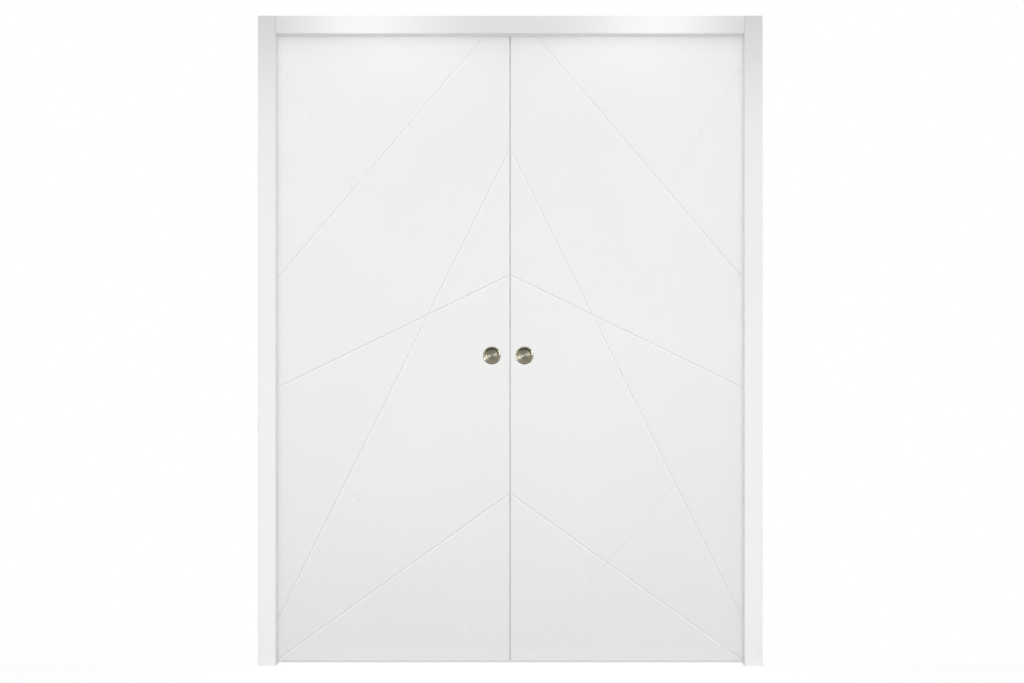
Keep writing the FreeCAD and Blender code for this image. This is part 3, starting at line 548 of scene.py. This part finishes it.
FINISHES = {make.__name__: make for make in (
    white_lacquer, raw_pine, particle_board, extruded_aluminium, zinc_steel, satin_nickel, polished_nickel,
    white_nylon, black_rubber, studio_floor, studio_wall, grey_card, black_card)}


def finish(name):
    """The material of that finish, made the first time that it is asked for."""
    label = f"{name}_finish"
    material = bpy.data.materials.get(label)
    if material is None:
        material = bpy.data.materials.new(label)
        FINISHES[name](NodeBench(material), bpy.context.scene.pocket_door)
    return material


def dress(name, *nodes):
    """Gives CAD nodes a finish."""
    for node in nodes:
        mesh = frame["nodes"][node].data
        mesh.materials.clear()
        mesh.materials.append(finish(name))


def spin(bm, rings, segments, where=Matrix(), slot=0, joined=False):
    """Adds a skin through rings round the Z axis of where, and returns the last ring's vertices.

    A ring is a (radius, height) pair, or a function that gives the pair for a turn. A ring of no radius is a
    point. The last ring meets the first if the skin is joined.
    """
    rows = []
    for ring in rings:
        turns = [math.tau * i / segments for i in range(segments)]
        pairs = [ring(turn) if callable(ring) else ring for turn in turns]
        corners = [(r * math.cos(turn), r * math.sin(turn), h) for turn, (r, h) in zip(turns, pairs)]
        used = corners if pairs[0][0] > 0 else corners[:1]
        rows.append([bm.verts.new(where @ Vector(corner)) for corner in used])
    for lower, upper in zip(rows, rows[1:] + rows[:1] if joined else rows[1:]):
        for i in range(segments):
            ends = (i, (i + 1) % segments)
            corners = [lower[end % len(lower)] for end in ends]
            corners += [upper[end % len(upper)] for end in reversed(ends)]
            bm.faces.new(dict.fromkeys(corners)).material_index = slot
    return rows[-1]


def arc(centre, radius, start, stop, steps):
    """Points along an arc in the outline plane, from one angle to another in degrees."""
    angles = [math.radians(start + (stop - start) * i / steps) for i in range(steps + 1)]
    return [(centre[0] + radius * math.cos(a), centre[1] + radius * math.sin(a)) for a in angles]


def around(loop):
    """Neighbours along a closed loop."""
    return list(zip(loop, loop[1:] + loop[:1]))


def linked(name, data):
    """A new object of that data in the scene."""
    made = bpy.data.objects.new(name, data)
    bpy.context.scene.collection.objects.link(made)
    return made


def stand_in(node, made, bm, slot, *others, where=Matrix()):
    """Turns a built mesh into a piece that stands for a CAD node, on its body and with its material slot.

    The piece has the slot's finish and those others, and is smooth but for its sharp edges.
    """
    name = f"{node}_{made}"
    bmesh.ops.recalc_face_normals(bm, faces=bm.faces)
    mesh = bpy.data.meshes.new(name)
    bm.to_mesh(mesh)
    bm.free()
    mesh.shade_smooth()
    mesh.set_sharp_from_angle(angle=SHARP_ANGLE)
    for made_of in (slot, *others):
        mesh.materials.append(finish(made_of))
    piece = linked(name, mesh)
    piece.matrix_world = where
    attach(piece, BODY_OF[node])
    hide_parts(node)
    return piece


def pull_outline(shape, radius, proud):
    """A pull's outline in three runs: out along its back, over its rim and in to the middle of its floor."""
    cup = radius - shape.rim_width
    crest = proud - shape.rim_edge
    dome = ((shape.rim_width / 2) ** 2 + crest ** 2) / (2 * crest)
    half = math.degrees(math.asin(shape.rim_width / 2 / dome))
    rim = arc((radius - shape.rim_width / 2, proud - dome), dome, 90 - half, 90 + half, shape.arc_steps)
    lean = math.degrees(math.atan2(shape.cup_depth + shape.rim_edge, shape.cup_taper))
    floor_start = cup - shape.cup_taper - shape.floor_round * math.tan(math.radians(lean / 2))
    corner = arc((floor_start, shape.floor_round - shape.cup_depth), shape.floor_round, lean - 90, -90,
                 shape.arc_steps)
    spigot, back = cup + shape.wall, -shape.cup_depth - shape.wall
    outside = [(0.0, back), (spigot, back), (spigot, 0.0), (radius, 0.0)]
    return outside, rim, corner + [(0.0, -shape.cup_depth)]


def turn_pull(shape, side, face):
    """Turns one flush pull and sets it in its leaf."""
    node = f"{side}_pull_{face}"
    size, centre = extent(node), middle(node)
    proud = max(abs(corner.y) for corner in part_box(node)) - LEAF_FACE
    outside, rim, dish = pull_outline(shape, size.x / 2, proud)
    bm = bmesh.new()
    spin(bm, outside + rim, shape.segments, slot=1)
    spin(bm, rim[-1:] + dish, shape.segments, slot=0)
    bmesh.ops.remove_doubles(bm, verts=bm.verts, dist=SAME_PLACE)
    outwards = Matrix.Rotation(-FACES[face] * math.pi / 2, 4, "X")
    where = Matrix.Translation((centre.x, FACES[face] * LEAF_FACE, centre.z)) @ outwards
    piece = stand_in(node, "turned", bm, "satin_nickel", "polished_nickel", where=where)
    soften = piece.modifiers.new("turned edges", "BEVEL")
    soften.width = shape.edge_round
    soften.segments = 2
    soften.limit_method = "ANGLE"


def turn_wheels(shape, node):
    """Turns an axle with its two wheels."""
    size = extent(node)
    radius = size.z / 2
    end = size.y / 2
    hub = end - shape.head_height
    inner = hub - shape.width
    side, crown = radius - shape.crown_round, shape.crown_round
    recess = hub - shape.recess_depth
    tread = arc((side, inner + crown), crown, -90, 0, shape.arc_steps)
    tread += arc((side, hub - crown), crown, 0, 90, shape.arc_steps)
    wheel = [(shape.axle_radius, inner)] + tread
    wheel += [(shape.recess_radius, hub), (shape.recess_radius, recess), (shape.hub_radius, recess),
              (shape.hub_radius, hub), (shape.axle_radius, hub)]
    head = [(shape.axle_radius, hub), (shape.head_radius, hub)]
    head += arc((shape.head_radius - crown, end - crown), crown, 0, 90, shape.arc_steps) + [(0.0, end)]
    bm = bmesh.new()
    for way in (Matrix(), Matrix.Rotation(math.pi, 4, "X")):
        spin(bm, wheel, shape.segments, way, slot=0, joined=True)
        spin(bm, [(0.0, 0.0), (shape.axle_radius, 0.0)] + head, shape.segments, way, slot=1)
    where = Matrix.Translation(middle(node)) @ Matrix.Rotation(math.pi / 2, 4, "X")
    stand_in(node, "turned", bm, "white_nylon", "zinc_steel", where=where)


def hexagon_ring(flats, height, slope, turn):
    """The curve along which a hexagon's sides meet a cone of that slope that touches its flats at height.

    The hexagon has a corner at turn 0. Without a slope the curve is the hexagon itself.
    """
    sixth = math.tau / HEXAGON_SIDES
    radius = flats / 2 / math.cos(turn % sixth - sixth / 2)
    return radius, height + (radius - flats / 2) * slope


def thread_ring(crest, depth, pitch, start, stop, height, turn):
    """One row of a thread that runs out at both ends."""
    ridge = 1 - abs(2 * ((height / pitch - turn / math.tau) % 1) - 1)
    fade = min(1.0, (height - start) / pitch, (stop - height) / pitch)
    return crest - depth * (1 - ridge * fade), height


def thread_rings(crest, depth, pitch, start, stop, steps):
    """Rows of a thread between two heights."""
    rows = max(2, round(steps * (stop - start) / pitch))
    heights = [start + (stop - start) * i / rows for i in range(rows + 1)]
    return [partial(thread_ring, crest, depth, pitch, start, stop, height) for height in heights]


def make_bolts(shape, side):
    """Makes a leaf's two pendant bolts and their lock nuts."""
    node = f"{side}_hanger_bolts"
    low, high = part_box(node)
    flats = high.y - low.y
    slope = math.tan(shape.chamfer)
    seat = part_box(f"{side}_hanger_plates")[0].z
    root = shape.radius - shape.thread_depth
    nut_top = LEAF_TOP + shape.nut_height
    bolt = [(0.0, low.z), (flats / 2, low.z), partial(hexagon_ring, flats, low.z, slope),
            partial(hexagon_ring, flats, seat, 0.0), (shape.radius, seat), (shape.radius, LEAF_TOP)]
    bolt += thread_rings(shape.radius, shape.thread_depth, shape.pitch, LEAF_TOP, high.z, shape.thread_steps)
    bolt += [(0.0, high.z)]
    nut = [(root, LEAF_TOP), (flats / 2, LEAF_TOP), partial(hexagon_ring, flats, LEAF_TOP, slope),
           partial(hexagon_ring, flats, nut_top, -slope), (flats / 2, nut_top), (root, nut_top)]
    segments = HEXAGON_SIDES * shape.side_steps
    bm = bmesh.new()
    for hanger in HANGERS:
        where = Matrix.Translation((middle(f"{side}_trolley_{hanger}").x, 0.0, 0.0))
        spin(bm, bolt, segments, where)
        spin(bm, nut, segments, where, joined=True)
    stand_in(node, "threaded", bm, "zinc_steel")


def cross(reach, arm):
    """The corners of a cross with arms that reach so far and are twice arm wide."""
    quarter = [(reach, -arm), (reach, arm), (arm, arm)]
    turns = [Matrix.Rotation(math.pi / 2 * i, 2) for i in range(4)]
    return [turn @ Vector(corner) for turn in turns for corner in quarter]


def sink_cross(shape, bm, rim, head_radius, where):
    """Closes a screw's head inside its rim, with a driver's cross recess sunk in it."""
    corners = cross(shape.recess_reach * head_radius, shape.recess_arm * head_radius)
    sunk = -shape.recess_depth * head_radius
    mouth = [bm.verts.new(where @ Vector((x, y, 0.0))) for x, y in corners]
    floor = [bm.verts.new(where @ Vector((*(shape.recess_floor * corner), sunk))) for corner in corners]
    edges = [bm.edges.get(pair) for pair in around(rim)] + [bm.edges.new(pair) for pair in around(mouth)]
    bmesh.ops.triangle_fill(bm, edges=edges, use_beauty=True)
    for (first, last), (first_low, last_low) in zip(around(mouth), around(floor)):
        bm.faces.new((first, last, last_low, first_low))
    bm.faces.new(floor)


def drive(shape, node, places, tip, head):
    """Makes a node's wood screws, each with its head flush with the plane of a place and its tip below it.

    The head is the part of the outline from the shank up to the rim round the recess.
    """
    radius, shank_top = head[0]
    depth = radius * shape.thread_share
    taper_end = tip + 2 * radius
    outline = [(0.0, tip)]
    outline += thread_rings(radius, depth, shape.pitch, taper_end, shank_top, shape.thread_steps)
    head_radius = max(head)[0]
    bm = bmesh.new()
    for where in places:
        rim = spin(bm, outline + head, shape.segments, where)
        sink_cross(shape, bm, rim, head_radius, where)
    stand_in(node, "driven", bm, "zinc_steel")


def countersunk(radius, head_radius):
    """The outline of a countersunk head."""
    return [(radius, radius - head_radius), (head_radius, 0.0)]


def drive_plate_screws(shape, side):
    """Makes the countersunk screws of a leaf's two hanger plates."""
    node = f"{side}_hanger_screws"
    low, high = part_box(node)
    head_radius = (high.y - low.y) / 2
    centres = [middle(f"{side}_trolley_{hanger}").x for hanger in HANGERS]
    offset = high.x - head_radius - max(centres)
    places = [Matrix.Translation((x + step, 0.0, LEAF_TOP)) for x in centres for step in (-offset, offset)]
    drive(shape, node, places, -shape.plate_length, countersunk(shape.plate_radius, head_radius))


def drive_guide_screws(shape):
    """Makes the countersunk screws of the guide pads."""
    low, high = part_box("guide_screws")
    head_radius, height = (high.z - low.z) / 2, (low.z + high.z) / 2
    places = []
    for side in SIDES:
        for face, way in FACES.items():
            x, y = middle(f"jamb_{side}_{face}").x, way * (LEAF_FACE + shape.guide_play)
            inwards = Matrix.Rotation(way * math.pi / 2, 4, "X")
            places.append(Matrix.Translation((x, y, height)) @ inwards)
    head = countersunk(shape.guide_radius, head_radius)
    drive(shape, "guide_screws", places, -shape.guide_length, head)


def drive_track_screws(shape):
    """Makes the pan-head screws that hold both rails up."""
    low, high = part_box("track_screws")
    head_radius = (high.y - low.y) / 2
    crown = shape.crown_share * shape.track_head
    head = [(shape.track_radius, -shape.track_head), (head_radius, -shape.track_head)]
    head += arc((head_radius - crown, -crown), crown, 0, 90, shape.crown_steps)
    step = (high.x - head_radius - shape.track_margin) / (shape.track_count - 1)
    steps = [shape.track_margin + step * i for i in range(shape.track_count)]
    spots = [way * x for way in SIDES.values() for x in steps]
    upside_down = Matrix.Rotation(math.pi, 4, "X")
    places = [Matrix.Translation((x, 0.0, low.z)) @ upside_down for x in spots]
    drive(shape, "track_screws", places, low.z - high.z, head)


def add_panel(name, made_of, quads):
    """Adds a stage object of flat four-cornered faces."""
    mesh = bpy.data.meshes.new(name)
    corners = [corner for quad in quads for corner in quad]
    mesh.from_pydata(corners, [], [tuple(range(4 * i, 4 * i + 4)) for i in range(len(quads))])
    mesh.materials.append(finish(made_of))
    panel = linked(name, mesh)
    panel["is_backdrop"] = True
    return panel


def upright_quad(x0, x1, z0, z1, y):
    """The corners of an upright rectangle that runs along the wall."""
    return [(x0, y, z0), (x1, y, z0), (x1, y, z1), (x0, y, z1)]


def lying_quad(x0, x1, y0, y1, z):
    """The corners of a level rectangle."""
    return [(x0, y0, z), (x1, y0, z), (x1, y1, z), (x0, y1, z)]


def aimed(spot, target):
    """The matrix of a lamp at spot that shines at target."""
    turn = (Vector(target) - Vector(spot)).to_track_quat("-Z", "Y")
    return Matrix.Translation(spot) @ turn.to_matrix().to_4x4()


def mirrored(spot, hand, way):
    """A place that is given for the right and the front, moved to that hand and side of the wall."""
    return hand * spot[0], -way * spot[1], spot[2]


def add_lamp(name, spot, target, watts, lit, width, height=None):
    """Adds a soft lamp that lights those objects alone and takes shadows from them alone.

    A lamp without a height is square.
    """
    data = bpy.data.lights.new(name, "AREA")
    data.shape = "RECTANGLE"
    data.size, data.size_y = width, height or width
    data.energy = watts
    lamp = linked(name, data)
    lamp.matrix_world = aimed(spot, target)
    lamp.visible_camera = False
    lamp.visible_glossy = False
    shade = bpy.data.collections.new(f"{name} shade")
    for obj in lit:
        shade.objects.link(obj)
    lamp.light_linking.receiver_collection = shade
    lamp.light_linking.blocker_collection = shade
    return lamp


def light_leaves(look, face, way):
    """Lights the leaves on one side of the wall, each with a raking key and a pool of light at its top."""
    inside = [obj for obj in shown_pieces() if not obj.name.startswith("casing")]
    spot, target = mirrored(look.fill, 1, way), (0.0, 0.0, LEAF_MIDDLE.z)
    add_lamp(f"{face} fill", spot, target, look.fill_power, inside, look.fill_size)
    for side, hand in SIDES.items():
        leaf = [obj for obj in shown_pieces() if body_of(obj) == [f"{side}_leaf"]]
        spot, target = mirrored(look.key, hand, way), (hand * LEAF_MIDDLE.x, 0.0, LEAF_MIDDLE.z)
        add_lamp(f"{side} {face} key", spot, target, look.key_power, leaf, look.key_size)
        spot = mirrored(look.pool, hand, way)
        add_lamp(f"{side} {face} pool lamp", spot, (spot[0], 0.0, spot[2]), look.pool_power, leaf,
                 look.pool_width, look.pool_height)


def light_casings(look, face, way):
    """Lights the casings on one side of the wall from close by, with two pools on the head casing."""
    for side, hand in SIDES.items():
        node = f"casing_head_{face}"
        spot = mirrored(look.head, hand, way)
        target = (hand * look.head_aim, middle(node).y, look.head[2])
        add_lamp(f"{side} {face} head lamp", spot, target, look.head_power, [frame["nodes"][node]],
                 look.head_size)
        node = f"casing_{side}_{face}"
        board = middle(node)
        low, high = -look.side_low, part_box(node)[1].z - look.side_drop
        centre = Vector((board.x, board.y, (low + high) / 2))
        spot = centre + Vector((0.0, way * look.side_gap, 0.0))
        target = centre + Vector((0.0, 0.0, look.side_lean))
        add_lamp(f"{side} {face} side lamp", spot, target, look.side_power, [frame["nodes"][node]],
                 look.side_width, high - low)


def light_pulls(look, face, way):
    """Draws the highlight across the pulls on one side of the wall."""
    pulls = [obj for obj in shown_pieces() if f"_pull_{face}" in obj.name]
    spot, target = mirrored(look.strip, -way, way), (0.0, 0.0, LEAF_MIDDLE.z)
    strip = add_lamp(f"{face} strip", spot, target, look.strip_power, pulls, look.strip_width,
                     look.strip_height)
    strip.visible_glossy = True


def light_floor(look, face, way, floor):
    """Lights the floor on one side of the wall, where all of the door throws its shadow."""
    spot, target = mirrored(look.top, 1, way), (0.0, 0.0, 0.0)
    lamp = add_lamp(f"{face} top lamp", spot, target, look.top_power, [floor], look.top_size)
    lamp.light_linking.blocker_collection = None


def set_lamps(look, floor):
    """Lights the door from the front and from the back."""
    for face, way in FACES.items():
        light_leaves(look, face, way)
        light_casings(look, face, way)
        light_pulls(look, face, way)
        light_floor(look, face, way, floor)


def set_backdrop(look):
    """Lays the floor, sets the wall round the casing and puts a black and a grey card on either side."""
    half = look.floor_size
    floor = add_panel("studio_floor", "studio_floor", [lying_quad(-half, half, -half, half, 0.0)])
    side = (JAMB_OUTER.x + CASING_OUTER.x) / 2
    top = (JAMB_OUTER.z + CASING_OUTER.z) / 2
    wide, high = look.wall_size, CAD_BOX[1].z + look.wall_rise
    sheets = ((-wide, -side, 0.0), (side, wide, 0.0), (-side, side, top))
    wall = [upright_quad(x0, x1, z0, high, -CASING_BACK) for x0, x1, z0 in sheets]
    add_panel("studio_wall", "studio_wall", wall)
    for face, way in FACES.items():
        near, far, across = way * look.card_gap, way * look.card_depth, look.card_width / 2
        lying = lying_quad(-across, across, near, far, look.card_lift)
        upright = upright_quad(-across, across, 0.0, look.card_height, way * look.card_reach)
        for made_of, quad in (("black_card", lying), ("grey_card", upright)):
            card = add_panel(f"{made_of}_{face}", made_of, [quad])
            card.visible_camera = False
            card.visible_diffuse = False
            card.visible_shadow = False
    return floor


def set_world(look):
    """Fills the studio with even light, white where it is seen."""
    world = bpy.data.worlds.new("studio")
    bpy.context.scene.world = world
    bench = NodeBench(world)
    white = (1.0, 1.0, 1.0, 1.0)
    even = bench.add("Background", {"Color": white, "Strength": look.ambient})
    bright = bench.add("Background", {"Color": white})
    parts = {0: bench.seen(), 1: even.outputs["Background"], 2: bright.outputs["Background"]}
    bench.end(bench.add("MixShader", parts).outputs["Shader"], "OutputWorld")


def set_camera(look):
    """Sets the camera straight in front of the door."""
    data = bpy.data.cameras.new("camera")
    data.lens = look.lens
    camera = linked("camera", data)
    camera.location = look.camera
    camera.rotation_euler = (math.pi / 2, 0.0, 0.0)
    bpy.context.scene.camera = camera


class POCKET_DOOR_OT_finish_casings(Operator):
    """Lacquer the casings and the jambs"""
    bl_idname = "pocket_door.finish_casings"
    bl_label = "Finish Casings and Jambs"

    def execute(self, context):
        for part in (*SIDES, "head"):
            for face in FACES:
                dress("white_lacquer", f"casing_{part}_{face}", f"jamb_{part}_{face}")
        return {"FINISHED"}


class POCKET_DOOR_OT_finish_leaves(Operator):
    """Lacquer the leaves and show the board that fills them"""
    bl_idname = "pocket_door.finish_leaves"
    bl_label = "Finish Leaves"

    def execute(self, context):
        parts = ("front_skin", "back_skin", "lead_stile", "trail_stile", "top_rail", "bottom_rail")
        for side in SIDES:
            dress("white_lacquer", *(f"{side}_leaf_{part}" for part in parts))
            dress("particle_board", f"{side}_leaf_core")
        return {"FINISHED"}


class POCKET_DOOR_OT_finish_header(Operator):
    """Give the header and its battens bare softwood"""
    bl_idname = "pocket_door.finish_header"
    bl_label = "Finish Header"

    def execute(self, context):
        dress("raw_pine", "track_header", *(f"head_batten_{face}" for face in FACES))
        return {"FINISHED"}


class POCKET_DOOR_OT_finish_track(Operator):
    """Give the rails aluminium and the brackets, stops, plates and trolleys zinc plate"""
    bl_idname = "pocket_door.finish_track"
    bl_label = "Finish Track and Hangers"

    def execute(self, context):
        for side in SIDES:
            dress("extruded_aluminium", f"track_rail_{side}")
            dress("zinc_steel", f"header_bracket_{side}", f"{side}_hanger_plates")
            dress("zinc_steel", *(f"{side}_trolley_{hanger}" for hanger in HANGERS))
        dress("zinc_steel", "track_stops")
        return {"FINISHED"}


class POCKET_DOOR_OT_finish_guides(Operator):
    """Give the guide pads nylon and the bumpers rubber"""
    bl_idname = "pocket_door.finish_guides"
    bl_label = "Finish Guides and Bumpers"

    def execute(self, context):
        dress("white_nylon", "guide_pads")
        dress("black_rubber", "stop_bumpers")
        return {"FINISHED"}


class POCKET_DOOR_OT_turn_pulls(Operator):
    """Turn the four flush pulls"""
    bl_idname = "pocket_door.turn_pulls"
    bl_label = "Turn Pulls"

    def execute(self, context):
        for side in SIDES:
            for face in FACES:
                turn_pull(context.scene.pocket_door.pull, side, face)
        return {"FINISHED"}


class POCKET_DOOR_OT_turn_wheels(Operator):
    """Turn the eight axles with their wheels"""
    bl_idname = "pocket_door.turn_wheels"
    bl_label = "Turn Wheels"

    def execute(self, context):
        for side in SIDES:
            for hanger in HANGERS:
                for axle in AXLES:
                    turn_wheels(context.scene.pocket_door.wheel, f"{side}_wheels_{hanger}_{axle}")
        return {"FINISHED"}


class POCKET_DOOR_OT_make_bolts(Operator):
    """Make the pendant bolts and their lock nuts"""
    bl_idname = "pocket_door.make_bolts"
    bl_label = "Make Pendant Bolts"

    def execute(self, context):
        for side in SIDES:
            make_bolts(context.scene.pocket_door.bolt, side)
        return {"FINISHED"}


class POCKET_DOOR_OT_drive_screws(Operator):
    """Drive the screws of plates, guides and track"""
    bl_idname = "pocket_door.drive_screws"
    bl_label = "Drive Screws"

    def execute(self, context):
        shape = context.scene.pocket_door.screw
        for side in SIDES:
            drive_plate_screws(shape, side)
        drive_guide_screws(shape)
        drive_track_screws(shape)
        return {"FINISHED"}


class POCKET_DOOR_OT_set_stage(Operator):
    """Set the studio: floor, wall, lamps, world and camera"""
    bl_idname = "pocket_door.set_stage"
    bl_label = "Set Stage"

    def execute(self, context):
        look = context.scene.pocket_door.studio
        set_lamps(look, set_backdrop(look))
        set_world(look)
        set_camera(look)
        context.scene.view_settings.view_transform = "Standard"
        return {"FINISHED"}


OPERATORS = (
    POCKET_DOOR_OT_finish_casings, POCKET_DOOR_OT_finish_leaves, POCKET_DOOR_OT_finish_header,
    POCKET_DOOR_OT_finish_track, POCKET_DOOR_OT_finish_guides, POCKET_DOOR_OT_turn_pulls,
    POCKET_DOOR_OT_turn_wheels, POCKET_DOOR_OT_make_bolts, POCKET_DOOR_OT_drive_screws,
    POCKET_DOOR_OT_set_stage)


class POCKET_DOOR_PT_sidebar(Panel):
    """Lists the steps that dress the door"""
    bl_label = "Pocket Door"
    bl_idname = "POCKET_DOOR_PT_sidebar"
    bl_space_type = "VIEW_3D"
    bl_region_type = "UI"
    bl_category = "Pocket Door"

    def draw(self, context):
        for operator in OPERATORS:
            self.layout.operator(operator.bl_idname)


CLASSES = (LacquerLook, WoodLook, FittingLook, PullShape, WheelShape, BoltShape, ScrewShape, StudioLook,
           DoorSettings, *OPERATORS, POCKET_DOOR_PT_sidebar)


def register():
    """Registers the classes and hangs the settings on the scene."""
    for made in CLASSES:
        bpy.utils.register_class(made)
    bpy.types.Scene.pocket_door = PointerProperty(type=DoorSettings)


def unregister():
    """Takes the settings and the classes away again."""
    del bpy.types.Scene.pocket_door
    for made in reversed(CLASSES):
        bpy.utils.unregister_class(made)


def main():
    """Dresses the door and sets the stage."""
    register()
    bpy.ops.pocket_door.finish_casings()
    bpy.ops.pocket_door.finish_leaves()
    bpy.ops.pocket_door.finish_header()
    bpy.ops.pocket_door.finish_track()
    bpy.ops.pocket_door.finish_guides()
    bpy.ops.pocket_door.turn_pulls()
    bpy.ops.pocket_door.turn_wheels()
    bpy.ops.pocket_door.make_bolts()
    bpy.ops.pocket_door.drive_screws()
    bpy.ops.pocket_door.set_stage()


if __name__ == "__main__":
    main()
